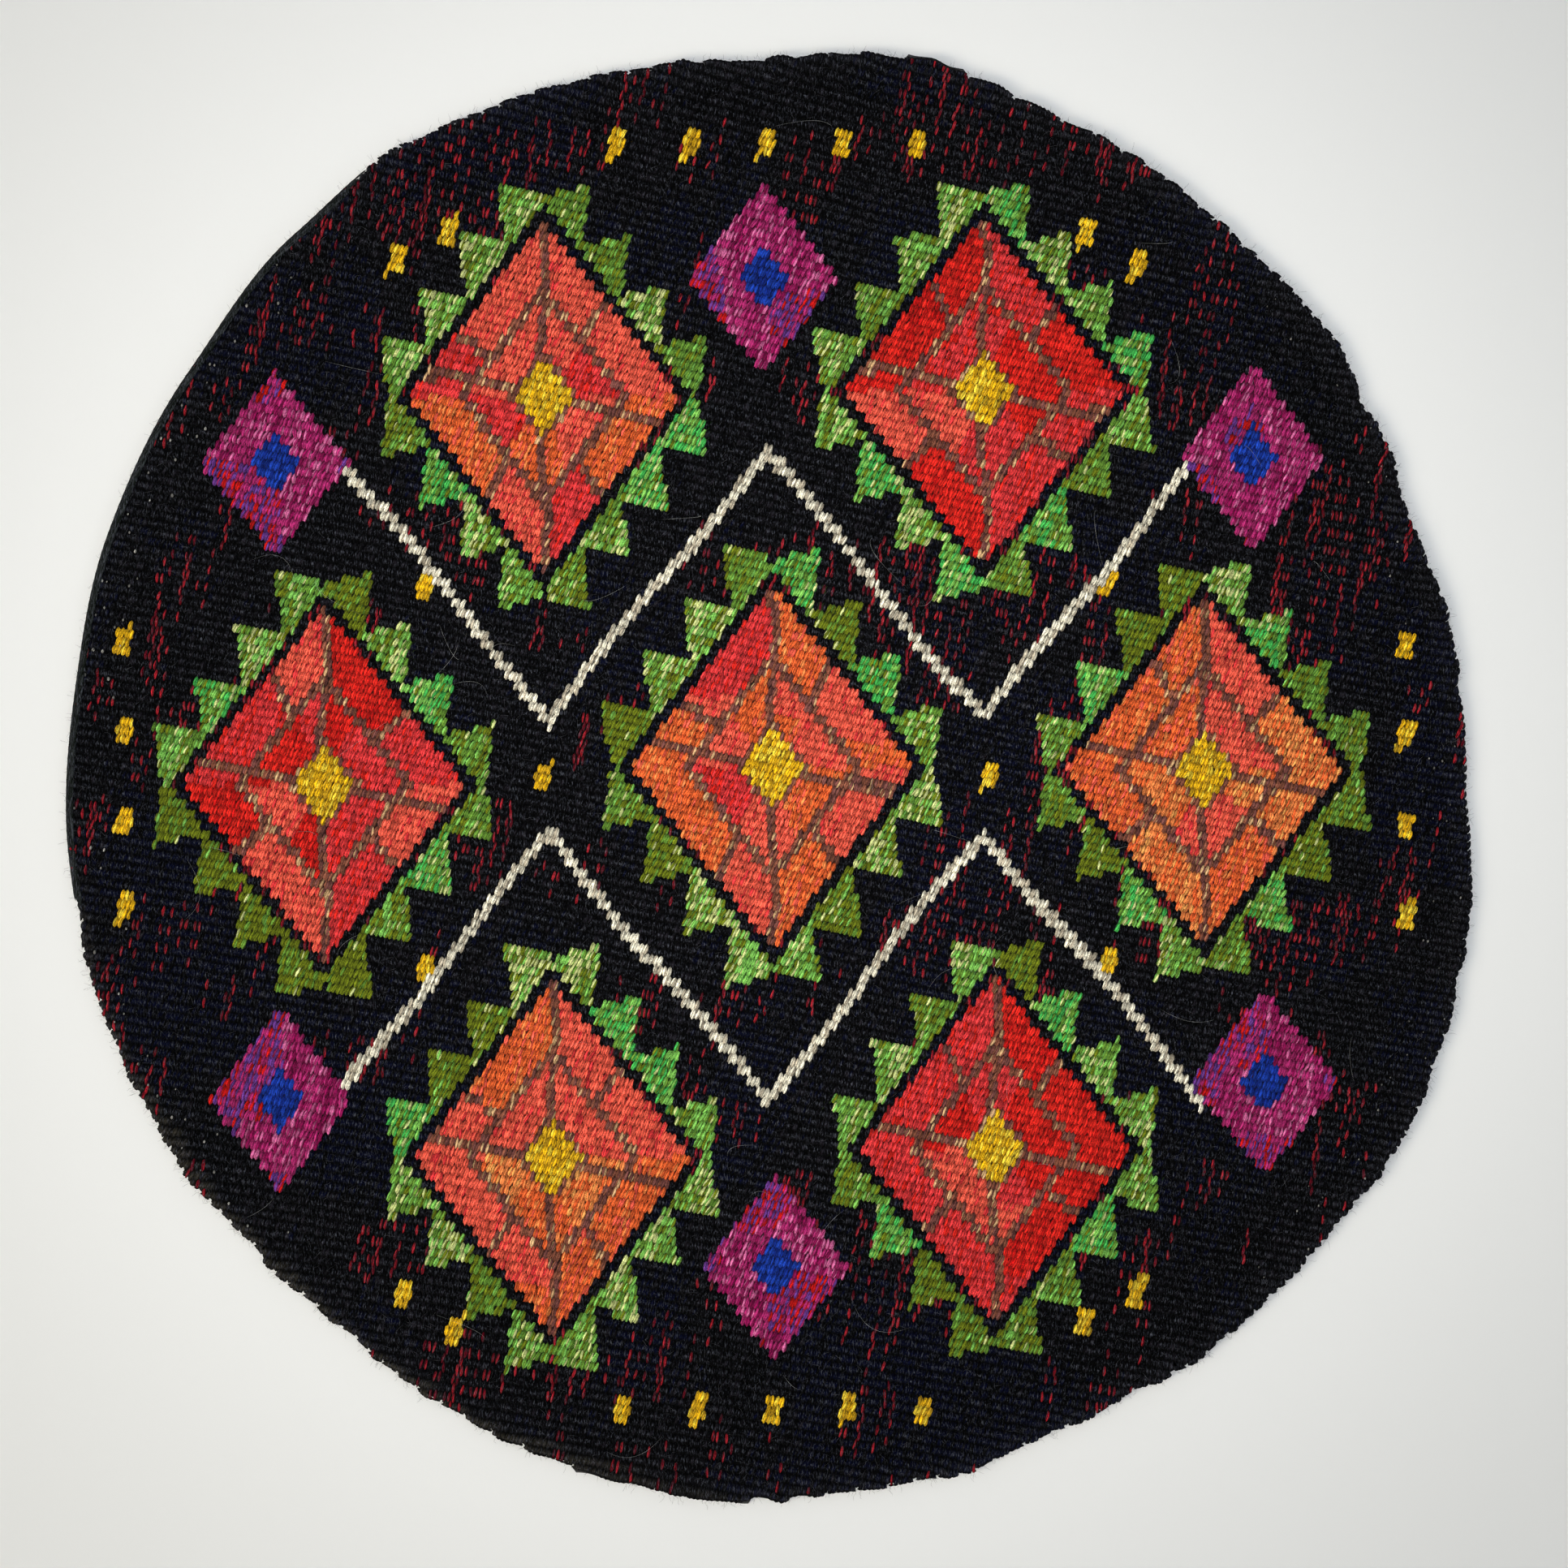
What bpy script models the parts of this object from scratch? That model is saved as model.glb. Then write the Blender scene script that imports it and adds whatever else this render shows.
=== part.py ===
"""A round, hand-woven wool tapestry, lying flat and face up.

It is one piece of weft-faced cloth. Its warp runs from side to side, a little downhill to the right, and
each warp cord covered in weft shows as a raised rib. The weaver's edge is rolled under all round, which
makes the rim thicker than the cloth inside it. Its underside is flat on the surface that it lies on.
+X is the right of the face, +Y is its top, and the origin is under the middle of its box.
"""

import math

import bmesh
import bpy
import numpy as np

MM = 0.001

# The cloth
THICKNESS = 3.0 * MM            # at a rib's crest, inside the rim
RIB_RELIEF = 0.8 * MM           # from the groove between two ribs up to a crest
SWELL = 0.3 * MM                # how far the face rises and dips where the cloth isn't quite even
SWELL_LENGTH = 190 * MM

# The rolled rim
RIM_TOP = 4.2 * MM              # the rim's highest line, above the surface
RIM_EDGE = 2.0 * MM             # how high the rim is where it reaches furthest out
RIM_RADIUS = 2.2 * MM           # from there in to its highest line
RIM_WIDTH = 9 * MM              # where the rolled edge ends and the plain cloth begins
UNDERCUT = 1.7 * MM             # how far in from the edge the underside meets the surface

# The ribs, about 8 to the inch
RIB_PITCH = 3.23 * MM
TIGHT_SHARE = 0.09              # the ribs in the middle are beaten this much closer
TIGHT_RIBS = 25                 # over about this many of them each way
RIB_FAN = 0.15                  # share by which they close up for each metre to the right
RIB_SLOPE = 0.20                # how much they fall for each metre to the right
RIB_SWAY = 2.4 * MM
RIB_SWAY_LENGTH = 600 * MM
RIB_END = 1.4 * MM              # how far a groove stops short of the ribs beside it

# The outline, anticlockwise from the right: where it swells and where it dips
RIM_TABLE = (
    # angle in degrees, radius in millimetres
    (0, 241.2), (10, 241.6), (22, 239.6), (30, 243.2), (38, 247.8), (50, 247.2),
    (60, 248.6), (68, 250.0), (77, 253.2), (90, 248.0), (105, 248.7), (120, 252.0),
    (131, 248.2), (145, 243.6), (160, 242.4), (172, 240.7), (187, 242.7), (202, 244.2),
    (215, 242.8), (229, 240.8), (241, 244.8), (255, 248.0), (265, 250.8), (275, 249.2),
    (283, 250.1), (295, 248.3), (311, 251.0), (320, 250.9), (331, 253.2), (341, 250.4),
    (350, 247.0),
)

# Points along a rib: the first ones are this far from its end, the rest divide what is left
END_STEPS = (0.0, 0.8 * MM, 2.4 * MM, 9.0 * MM)
MIDDLE_POINTS = 3
SHORTEST_RIB = 20 * MM


def eased(t):
    """From 0 to 1 with a level start and finish."""
    t = np.clip(t, 0.0, 1.0)
    return t * t * (3.0 - 2.0 * t)


def rim_radius(angle):
    """How far the edge is from the middle at an angle in radians. It eases from one row to the next."""
    table = np.array(RIM_TABLE + ((RIM_TABLE[0][0] + 360, RIM_TABLE[0][1]),))
    degrees = np.degrees(angle) % 360.0
    row = np.clip(np.searchsorted(table[:, 0], degrees, side="right") - 1, 0, len(table) - 2)
    start, end = table[row], table[row + 1]
    along = eased((degrees - start[..., 0]) / (end[..., 0] - start[..., 0]))
    return (start[..., 1] + (end[..., 1] - start[..., 1]) * along) * MM


def inside_rim(x, y):
    """How far a point is inside the edge, less than 0 outside it."""
    return rim_radius(np.arctan2(y, x)) - np.hypot(x, y)


def rib_y(rib, x):
    """Height on the face of rib number rib at x. The ribs are counted from the middle of the cloth upward."""
    spread = RIB_PITCH * (rib - TIGHT_SHARE * TIGHT_RIBS * math.tanh(rib / TIGHT_RIBS))
    sway = RIB_SWAY * np.sin(2.0 * math.pi * x / RIB_SWAY_LENGTH)
    return spread * (1.0 - RIB_FAN * x) - RIB_SLOPE * x - sway


def rib_ends(rib):
    """The leftmost and rightmost x of a rib inside the edge, or None past the cloth."""
    x = np.arange(-0.27, 0.27, 0.1 * MM)
    within = x[inside_rim(x, rib_y(rib, x)) > 0.0]
    if len(within) == 0 or within[-1] - within[0] < SHORTEST_RIB:
        return None
    return within[0], within[-1]


def face_height(x, y, on_crest):
    """Height of the woven face above the surface: the plain cloth, and the rolled rim around it."""
    depth = np.maximum(inside_rim(x, y), 0.0)
    wave = 2.0 * math.pi / SWELL_LENGTH
    swell = SWELL * np.sin(wave * x + 0.6) * np.sin(wave * y - 0.9)
    cloth = THICKNESS + swell
    roll = RIM_TOP - THICKNESS
    height = cloth + roll * (1.0 - eased((depth - RIM_RADIUS) / (RIM_WIDTH - RIM_RADIUS)))
    if not on_crest:
        height = height - RIB_RELIEF
    outer = np.sqrt(1.0 - (1.0 - np.clip(depth / RIM_RADIUS, 0.0, 1.0)) ** 2)
    return RIM_EDGE + (height - RIM_EDGE) * outer


def across(left, right):
    """The x of each point along a rib: close together at the rolled ends, and even between them."""
    steps = np.array(END_STEPS) * min(1.0, (right - left) / (4.0 * END_STEPS[-1]))
    inner = np.linspace(left + steps[-1], right - steps[-1], MIDDLE_POINTS + 2)[1:-1]
    return np.concatenate([left + steps, inner, (right - steps)[::-1]])


def lines_of_cloth():
    """Each groove and each crest from the bottom of the cloth to its top, as a row of points."""
    ends = {}
    for way in (-1, 1):
        rib = 0 if way > 0 else -1
        while rib_ends(rib) is not None:
            ends[rib] = rib_ends(rib)
            rib += way
    ribs = sorted(ends)
    lines = []
    for rib in [ribs[0] - 1] + ribs:
        beside = [ends[n] for n in (rib, rib + 1) if n in ends]
        if rib in ends:
            x = across(*ends[rib])
            y = rib_y(rib, x)
            lines.append(np.column_stack([x, y, face_height(x, y, True)]))
        x = across(max(e[0] for e in beside) + RIB_END, min(e[1] for e in beside) - RIB_END)
        y = rib_y(rib + 0.5, x)
        lines.append(np.column_stack([x, y, face_height(x, y, False)]))
    return lines


def cloth_mesh():
    """The closed solid: the ribbed face, the turned-under edge below it and the flat underside."""
    bm = bmesh.new()
    rows = [[bm.verts.new(point) for point in line] for line in lines_of_cloth()]
    for lower, upper in zip(rows, rows[1:]):
        for n in range(len(lower) - 1):
            bm.faces.new((lower[n], lower[n + 1], upper[n + 1], upper[n]))
    edge = rows[0][:-1] + [row[-1] for row in rows[:-1]]
    edge += rows[-1][:0:-1] + [row[0] for row in rows[:0:-1]]
    under = []
    for vert in edge:
        radius = math.hypot(vert.co.x, vert.co.y)
        share = 1.0 - UNDERCUT / radius
        under.append(bm.verts.new((vert.co.x * share, vert.co.y * share, 0.0)))
    for n, vert in enumerate(edge):
        after = (n + 1) % len(edge)
        bm.faces.new((under[n], under[after], edge[after], vert))
    bm.faces.new(under[::-1])
    bmesh.ops.triangulate(bm, faces=bm.faces[:])
    middle = [(min(v.co[axis] for v in bm.verts) + max(v.co[axis] for v in bm.verts)) / 2 for axis in (0, 1)]
    bmesh.ops.translate(bm, verts=bm.verts[:], vec=(-middle[0], -middle[1], 0.0))
    mesh = bpy.data.meshes.new("woven_cloth")
    bm.to_mesh(mesh)
    bm.free()
    return mesh


def wool():
    """Black and navy wool, which is the ground of the weave."""
    material = bpy.data.materials.new("black_navy_wool")
    material.use_nodes = True
    shader = material.node_tree.nodes["Principled BSDF"]
    shader.inputs["Base Color"].default_value = (0.012, 0.011, 0.022, 1.0)
    shader.inputs["Roughness"].default_value = 0.95
    shader.inputs["Metallic"].default_value = 0.0
    return material


for old in list(bpy.data.objects):
    bpy.data.objects.remove(old)

cloth = bpy.data.objects.new("woven_cloth", cloth_mesh())
cloth.data.materials.append(wool())
bpy.context.scene.collection.objects.link(cloth)
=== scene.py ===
# A round wool tapestry, woven by hand in one piece, lying flat and face up.
# +X is the right of the face and +Y its top. All sizes are in metres.
import math
import bpy
import numpy as np
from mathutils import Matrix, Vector
from mathutils.kdtree import KDTree


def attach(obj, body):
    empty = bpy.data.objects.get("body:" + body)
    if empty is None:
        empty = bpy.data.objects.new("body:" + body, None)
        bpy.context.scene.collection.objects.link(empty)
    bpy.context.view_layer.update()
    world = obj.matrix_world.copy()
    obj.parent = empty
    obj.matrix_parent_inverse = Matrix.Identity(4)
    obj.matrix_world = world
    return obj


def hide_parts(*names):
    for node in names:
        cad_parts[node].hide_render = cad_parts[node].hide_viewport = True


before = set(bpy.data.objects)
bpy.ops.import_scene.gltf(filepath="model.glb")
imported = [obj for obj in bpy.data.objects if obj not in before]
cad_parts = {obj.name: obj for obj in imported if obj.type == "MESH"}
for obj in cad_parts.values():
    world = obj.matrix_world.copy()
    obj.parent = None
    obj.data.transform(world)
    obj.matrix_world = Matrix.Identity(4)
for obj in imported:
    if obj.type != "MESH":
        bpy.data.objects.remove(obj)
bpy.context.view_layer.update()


# ----------------------------------------------------------
# The warp: cotton cords from side to side, a little downhill to the right, and wholly covered by the weft, so
# that each shows only as a rib. The rim is rolled under, which makes it thicker. Every bundle of weft has its
# place here: each pass goes over one cord and under the next, and leans with the cords.
MM = 0.001
THICKNESS = 3.0 * MM            # at a rib's crest, inside the rim
SWELL = 0.3 * MM                # how far the face rises and dips where the cloth isn't quite even
SWELL_LENGTH = 190 * MM
RIM_TOP = 4.2 * MM              # the rim's highest line
RIM_EDGE = 2.0 * MM             # how high the rim is where it reaches furthest out
RIM_RADIUS = 2.2 * MM
RIM_WIDTH = 9 * MM
RIB_PITCH = 3.23 * MM
TIGHT_SHARE = 0.09              # the ribs in the middle are beaten this much closer
TIGHT_RIBS = 25
RIB_FAN = 0.15                  # share by which the ribs close up for each metre to the right
RIB_SLOPE = 0.20                # how much they fall for each metre to the right
RIB_SWAY = 2.4 * MM
RIB_SWAY_LENGTH = 600 * MM
SHORTEST_RIB = 20 * MM
PASS = 0.8 * MM                 # from one pass of the weft to the next
PASS_LEAN = 0.20
WANDER, WANDER_LENGTH = 0.35 * MM, 13 * MM      # how a pass strays from its even line
FIRST_RIB, LAST_RIB = -91, 91   # counted from the middle, with room to spare past the cloth
MOST_PASSES = 400               # each way from the middle, with room to spare
RIM_TABLE = (
    # angle in degrees, radius in millimetres
    (0, 241.2), (10, 241.6), (22, 239.6), (30, 243.2), (38, 247.8), (50, 247.2),
    (60, 248.6), (68, 250.0), (77, 253.2), (90, 248.0), (105, 248.7), (120, 252.0),
    (131, 248.2), (145, 243.6), (160, 242.4), (172, 240.7), (187, 242.7), (202, 244.2),
    (215, 242.8), (229, 240.8), (241, 244.8), (255, 248.0), (265, 250.8), (275, 249.2),
    (283, 250.1), (295, 248.3), (311, 251.0), (320, 250.9), (331, 253.2), (341, 250.4),
    (350, 247.0),
)


def eased(t):
    """From 0 to 1 with a level start and finish."""
    t = np.clip(t, 0.0, 1.0)
    return t * t * (3.0 - 2.0 * t)


def rim_radius(angle):
    """How far the edge is from the middle at an angle in radians."""
    table = np.array(RIM_TABLE + ((RIM_TABLE[0][0] + 360, RIM_TABLE[0][1]),))
    degrees = np.degrees(angle) % 360.0
    row = np.clip(np.searchsorted(table[:, 0], degrees, side="right") - 1, 0, len(table) - 2)
    start, end = table[row], table[row + 1]
    along = eased((degrees - start[..., 0]) / (end[..., 0] - start[..., 0]))
    return (start[..., 1] + (end[..., 1] - start[..., 1]) * along) * MM


def inside_rim(x, y):
    """How far a point is inside the edge, less than 0 outside it."""
    return rim_radius(np.arctan2(y, x)) - np.hypot(x, y)


def rib_y(rib, x):
    """Height on the face of rib number rib at x, counted from the middle of the cloth upward."""
    spread = RIB_PITCH * (rib - TIGHT_SHARE * TIGHT_RIBS * np.tanh(rib / TIGHT_RIBS))
    sway = RIB_SWAY * np.sin(2.0 * math.pi * x / RIB_SWAY_LENGTH)
    return spread * (1.0 - RIB_FAN * x) - RIB_SLOPE * x - sway


def crest_height(x, y):
    """Height of a rib's crest above the surface: the plain cloth, and the rolled rim around it."""
    depth = np.maximum(inside_rim(x, y), 0.0)
    wave = 2.0 * math.pi / SWELL_LENGTH
    cloth = THICKNESS + SWELL * np.sin(wave * x + 0.6) * np.sin(wave * y - 0.9)
    roll = RIM_TOP - THICKNESS
    height = cloth + roll * (1.0 - eased((depth - RIM_RADIUS) / (RIM_WIDTH - RIM_RADIUS)))
    outer = np.sqrt(1.0 - (1.0 - np.clip(depth / RIM_RADIUS, 0.0, 1.0)) ** 2)
    return RIM_EDGE + (height - RIM_EDGE) * outer


rib_ends = {}
for rib in range(FIRST_RIB + 1, LAST_RIB):
    line = np.arange(-0.27, 0.27, 0.1 * MM)
    line = line[inside_rim(line, rib_y(rib, line)) > 0.0]
    if len(line) and line[-1] - line[0] > SHORTEST_RIB:
        rib_ends[rib] = (line[0], line[-1])

place_rib, place_pass, place_x = [], [], []
for rib, (left, right) in rib_ends.items():
    number = np.arange(-MOST_PASSES, MOST_PASSES + 1)
    number = number[(number + rib) % 2 == 0]
    x = number * PASS
    for _ in range(4):
        y = rib_y(rib, x)
        wander = WANDER * np.sin(y / WANDER_LENGTH + number * 0.05)
        x = number * PASS + PASS_LEAN * y + wander
    kept = (x > left + 0.5 * MM) & (x < right - 0.5 * MM)
    place_rib.append(np.full(kept.sum(), rib))
    place_pass.append(number[kept])
    place_x.append(x[kept])
place_rib, place_pass, place_x = map(np.concatenate, (place_rib, place_pass, place_x))
place_y = rib_y(place_rib, place_x)
place_free = np.ones(len(place_x), bool)
# The left and right end of each rib, and whether a place has no rib above it, or none below it.
spans = np.array([rib_ends.get(rib, (1.0, -1.0)) for rib in range(FIRST_RIB, LAST_RIB + 1)])
above, below = spans[place_rib - FIRST_RIB + 1], spans[place_rib - FIRST_RIB - 1]
open_above = (place_x < above[:, 0]) | (place_x > above[:, 1])
open_below = (place_x < below[:, 0]) | (place_x > below[:, 1])
# The places in millimetres, as the design is drawn in them.
chart_x, chart_y = place_x / MM, place_y / MM


def take(shape):
    """The free places inside a shape, which are then taken."""
    taken = np.flatnonzero(shape & place_free)
    place_free[taken] = False
    return taken


# ----------------------------------------------------------
# One bundle of weft: two plies of wool, thickest over the crest of its rib and pinched at both ends where it
# goes down between the ribs. It is modelled once, and copied to every place on the face. Each piece of the
# weave is made of such bundles, in the wools that it was woven with.
BUNDLE_WIDTH = 1.70 * MM
BUNDLE_HEIGHT = 0.52 * MM
BUNDLE_REACH = 1.42             # its length, in ribs
WIDTHS, LENGTHS = (0.90, 1.08), (0.94, 1.08)    # the range of each, in shares of the even size
ASTRAY, RAISED, ASLANT = 0.07 * MM, 0.045 * MM, 0.08    # how much it differs sideways, in height and in lean
OVERHANG = 0.3 * MM             # how far a bundle may stand out past the edge before it is tucked down
TUCKED, LOWERED = 0.85, 0.9     # shares of what stands out further: how much goes in, and how much goes down
KNOB_SIZE = 2.3 * MM            # how far the knobs of the rim stand out
KNOB_DEPTH = 7 * MM             # how far in from the edge they reach
SMALL_KNOB, LARGE_KNOB = 7 * MM, 18 * MM        # how long they are, round the rim
SMOOTH_MIDDLE, SMOOTH_HALF = 157.0, 27.0        # the smooth part of the rim, in degrees
LUMP = 6.0 * MM                 # how long the rounding at a free rib's end is
LUMP_DEPTH = 1.7 * MM           # how far a rib's end leans in there
GROOVE_DEPTH = 1.0 * MM         # how far the bundles' ends go down between the ribs
ROUND_RIDGE, ROUND_SIDE = 0.84, 0.52            # shares of the ridge's and the side's direction in the shading
PLY_RUN = 9                     # how many ribs a pass keeps its plies for
PASS_TABLE, RUN_TABLE = 900, 64                 # passes and runs with a draw of their own

def spindle(rings, reshape=None):
    """A thin three-sided spindle from y -1 to y 1: its points, its triangles and which of these face down."""
    bpy.ops.mesh.primitive_uv_sphere_add(segments=3, ring_count=rings, radius=1.0, rotation=(math.radians(90), 0, 0))
    shape = bpy.context.object
    bpy.ops.object.transform_apply(location=True, rotation=True, scale=True)
    bpy.ops.object.mode_set(mode="EDIT")
    bpy.ops.mesh.select_all(action="SELECT")
    if reshape is not None:
        reshape(shape)
    bpy.ops.mesh.quads_convert_to_tris()
    bpy.ops.mesh.normals_make_consistent(inside=False)
    bpy.ops.object.mode_set(mode="OBJECT")
    points = np.array([vertex.co[:] for vertex in shape.data.vertices])
    faces = np.array([face.vertices[:] for face in shape.data.polygons])
    under = np.array([face.normal.z < -0.5 for face in shape.data.polygons])
    bpy.data.objects.remove(shape)
    return points, faces, under


def plumped(shape):
    """Makes the spindle 2 wide and 1 high, with its ridge on top, and fuller at its shoulders."""
    bpy.ops.transform.resize(value=(1.0 / math.sin(math.radians(60)), 1.0, 1.0 / 1.5), center_override=(0, 0, 0))
    bpy.ops.transform.translate(value=(0, 0, 1.0 / 3.0))
    bpy.ops.mesh.select_all(action="DESELECT")
    bpy.ops.object.mode_set(mode="OBJECT")
    for vertex in shape.data.vertices:
        vertex.select = 0.5 < abs(vertex.co.y) < 0.9
    bpy.ops.object.mode_set(mode="EDIT")
    bpy.ops.transform.resize(value=(1.08, 0.92, 1.04), center_override=(0, 0, 0))
    bpy.ops.mesh.select_all(action="SELECT")


bundle_points, bundle_faces, bundle_under = spindle(4, plumped)
corner_points = bundle_points[bundle_faces]
corner_side = np.sign(np.round(corner_points[..., 0], 3))
# On the yarn's own map, u goes over the bundle and v along it. On the flat map, each bundle has one square,
# with its two slopes on the left and its underside on the right.
yarn_map = np.stack([0.5 + 0.5 * corner_side, 0.5 + 0.5 * corner_points[..., 1]], axis=-1)
square_u = np.where(bundle_under[:, None], 0.85 + 0.10 * corner_side, 0.37 + 0.32 * corner_side)
square_map = np.stack([square_u, 0.5 + 0.46 * corner_points[..., 1]], axis=-1)
# A yarn is round, so its shading turns from each point of its ridge out to the sides and the ends.
bundle_ridge = np.flatnonzero((np.abs(bundle_points[:, 0]) < 0.1) & (np.abs(bundle_points[:, 1]) < 0.9))
ridge_of = bundle_ridge[np.abs(bundle_points[:, None, 1] - bundle_points[None, bundle_ridge, 1]).argmin(axis=1)]
# How much daylight the wool gets: all of it on the crest, and little where it goes down between its neighbours.
# Felted wool hides the sides of its bundles, so that mostly the grooves between its ribs are dark.
from_crest = np.abs(bundle_points[:, 1])
on_side = np.abs(bundle_points[:, 0]) > 0.1


def daylight_on(tip, low_side, low_ridge, side, crest):
    """The share of the daylight at each point of a bundle, from its tips up to its crest."""
    shoulder = np.where(on_side, low_side, low_ridge)
    return np.select([from_crest > 0.9, from_crest > 0.5], [tip, shoulder], np.where(on_side, side, crest))


twisted_daylight = daylight_on(0.30, 0.62, 0.80, 0.88, 1.0)
felted_daylight = daylight_on(0.01, 0.15, 0.25, 0.76, 1.04)


def dyed(red, green, blue):
    """A dye as it looks by daylight, in 0 to 255, for the shader."""
    return tuple((c / 255.0) ** 2.2 for c in (red, green, blue))


def in_runs(places, ribs, random, *draws):
    """Random draws for the places, the same ones over that many ribs of a pass."""
    run = np.floor((place_rib[places] + place_pass[places] * 3) / ribs).astype(int) % RUN_TABLE
    return random.random((PASS_TABLE, RUN_TABLE, *draws))[place_pass[places] + PASS_TABLE // 2, run]


def spun(places, dyes, shares, seed, steady=0.8, uneven=0.40):
    """The two plies of each bundle. A pass mostly keeps its plies for a few ribs, so that they show as streaks."""
    random = np.random.default_rng(seed)
    in_run = in_runs(places, PLY_RUN, random, 2)
    keeps = random.random((len(places), 1)) < steady
    draw = np.where(keeps, in_run, random.random((len(places), 2)))
    pick = np.searchsorted(np.cumsum(shares) / np.sum(shares), draw).clip(0, len(dyes) - 1)
    light = 1.0 + uneven * (random.random((len(places), 2, 1)) * 2 - 1)
    return np.array(dyes)[pick] * light


def unit(directions):
    """The same directions, each one long."""
    return directions / np.maximum(np.linalg.norm(directions, axis=-1, keepdims=True), 1e-9)


def rib_directions(rib, x):
    """Along the rib to the right, and up the face square to it, both as rows of three."""
    slope = (rib_y(rib, x + MM) - rib_y(rib, x - MM)) / (2 * MM)
    run = np.hypot(1.0, slope)
    flat = np.zeros_like(run)
    return np.stack([1 / run, slope / run, flat], -1), np.stack([-slope / run, 1 / run, flat], -1)


def copies(name, points, faces, material):
    """One piece of many copies: points is copies x points of one x 3, and faces are the triangles of one."""
    shift = np.arange(len(points))[:, None, None] * points.shape[1]
    all_faces = (faces[None] + shift).reshape(-1, 3)
    mesh = bpy.data.meshes.new(name)
    mesh.from_pydata(points.reshape(-1, 3), [], all_faces.tolist())
    mesh.polygons.foreach_set("use_smooth", np.ones(len(all_faces), bool))
    mesh.materials.append(material)
    piece = bpy.data.objects.new(name, mesh)
    bpy.context.scene.collection.objects.link(piece)
    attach(piece, "root")
    return piece


def joined(name, points, plies, material, seed, daylight=twisted_daylight):
    """One piece of many bundles: points is bundles x 11 x 3, and plies bundles x 2 x 3."""
    random = np.random.default_rng(seed)
    count = len(points)
    mesh = copies(name, points, bundle_faces, material).data
    turned = np.broadcast_to(yarn_map, (count,) + yarn_map.shape).copy()
    turned[..., 1] += 20 * random.random((count, 1, 1))
    mesh.uv_layers.new(name="along_yarn").data.foreach_set("uv", turned.ravel())
    side = math.ceil(math.sqrt(count))
    corner = np.stack([np.arange(count) % side, np.arange(count) // side], axis=-1)
    squares = (corner[:, None, None] + square_map[None]) / side
    mesh.uv_layers.new(name="OFBake").data.foreach_set("uv", squares.ravel())
    for number, ply in enumerate(("ply_one", "ply_two")):
        colour = np.ones((count, len(bundle_points), 4))
        colour[..., :3] = plies[:, number, None, :]
        mesh.attributes.new(ply, "FLOAT_COLOR", "POINT").data.foreach_set("color", colour.ravel())
    mesh.attributes.new("daylight", "FLOAT", "POINT").data.foreach_set("value", np.tile(daylight, count))
    mesh.update()
    normals = np.zeros(points.size)
    mesh.vertex_normals.foreach_get("vector", normals)
    ridge = normals.reshape(points.shape)[:, ridge_of]
    away = points - points[:, ridge_of]
    away -= ridge * (away * ridge).sum(axis=-1, keepdims=True)
    rounded = unit(ridge * ROUND_RIDGE + unit(away) * ROUND_SIDE)
    mesh.normals_split_custom_set_from_vertices(rounded.reshape(-1, 3).tolist())


def patchy(x, y, size, seed):
    """Soft, even patches from 0 to 1, about that size across. Past 64 of them they come round again."""
    table = np.random.default_rng(seed).random((64, 64))
    u, v = np.asarray(x) / size + 31.3, np.asarray(y) / size + 17.7
    left, low = np.floor(u).astype(int), np.floor(v).astype(int)
    a, b = eased(u - left), eased(v - low)
    near = table[low % 64, left % 64] * (1 - a) + table[low % 64, (left + 1) % 64] * a
    far = table[(low + 1) % 64, left % 64] * (1 - a) + table[(low + 1) % 64, (left + 1) % 64] * a
    return near * (1 - b) + far * b


def knobbly(x, y):
    """How far the rolled rim stands out or falls back from its even line at a point, except along the selvedge."""
    angle = np.arctan2(y, x)
    rough = eased((np.abs(np.degrees(angle) % 360.0 - SMOOTH_MIDDLE) - SMOOTH_HALF) / 8.0)
    ring_x, ring_y = 0.24 * np.cos(angle), 0.24 * np.sin(angle)
    knobs = patchy(ring_x, ring_y, SMALL_KNOB, 11) + 0.8 * patchy(ring_x, ring_y, LARGE_KNOB, 12) - 0.8
    return KNOB_SIZE * knobs * rough * eased(1.0 - inside_rim(x, y) / KNOB_DEPTH)


def tucked(points, drawn=0.0):
    """Points past the edge go most of the way back in, and down, because the rim is rolled, and the rim is a bit
    knobbly. Where drawn is more than 0, the points that fall short of the edge are drawn out towards it."""
    x, y, z = points[..., 0], points[..., 1], points[..., 2]
    depth = inside_rim(x, y)
    past = np.maximum(-OVERHANG - depth, 0.0)
    short = drawn * np.clip(depth - 0.2 * MM, 0.0, 2.4 * MM)
    share = 1.0 + (knobbly(x, y) + 0.6 * short - TUCKED * past) / np.hypot(x, y)
    return np.stack([x * share, y * share, np.maximum(z - LOWERED * past, 0.08 * MM)], axis=-1)


def rounded_end(rib, x):
    """From 0 at the ends of a rib to 1 some way in, as the side of a soft lump."""
    from_end = np.minimum(x - spans[rib - FIRST_RIB, 0], spans[rib - FIRST_RIB, 1] - x)
    lump = 0.76 + 0.48 * patchy(x, rib_y(rib, x), 3.4 * MM, 9)
    return np.minimum(lump * np.sqrt(1.0 - (1.0 - np.clip(from_end / LUMP, 0.0, 1.0)) ** 2), 1.0)


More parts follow.
